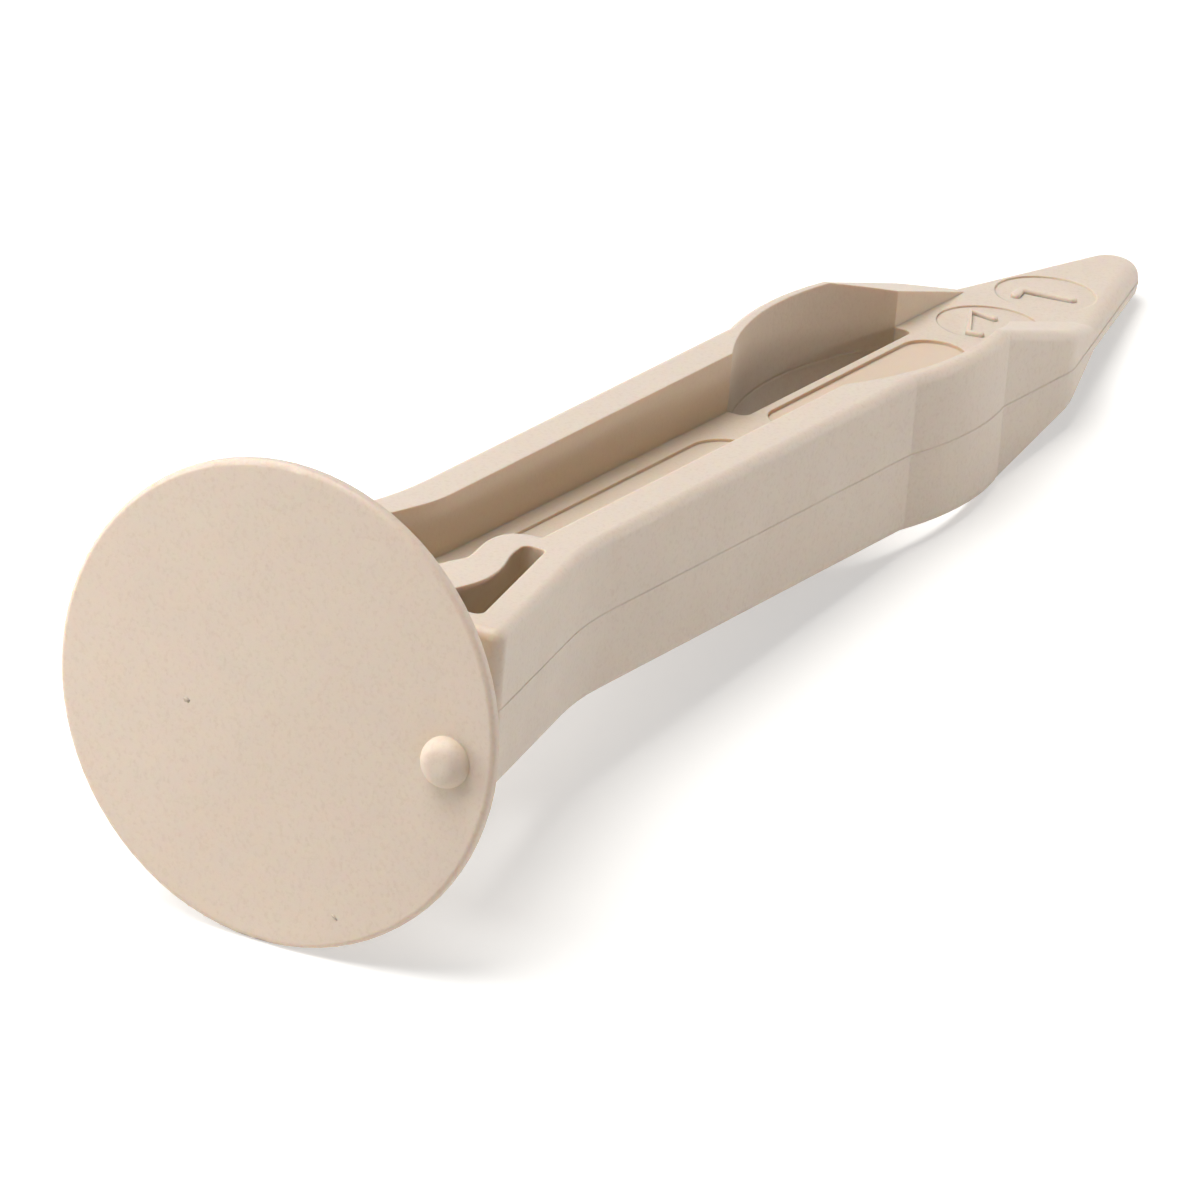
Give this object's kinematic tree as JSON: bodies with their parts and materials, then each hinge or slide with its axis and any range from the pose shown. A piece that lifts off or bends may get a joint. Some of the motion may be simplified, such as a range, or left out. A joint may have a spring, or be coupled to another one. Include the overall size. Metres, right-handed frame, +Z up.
{
  "type": "door trim clip",
  "caption": "Moulded plastic door trim clip: round flat head, winged H-section shank with spring bows, and a pointed nose.",
  "frame": {"origin": "on the ground, at the middle of the clip's length and width as it lies at rest", "axes": "+X along the clip from its head towards its nose, +Y across it, +Z up from the ground"},
  "size_m": [0.0632, 0.018, 0.0179],
  "materials": {
    "moulding": "matte"
  },
  "bodies": {
    "root": {"trim_clip": "moulding"}
  },
  "joints": []
}
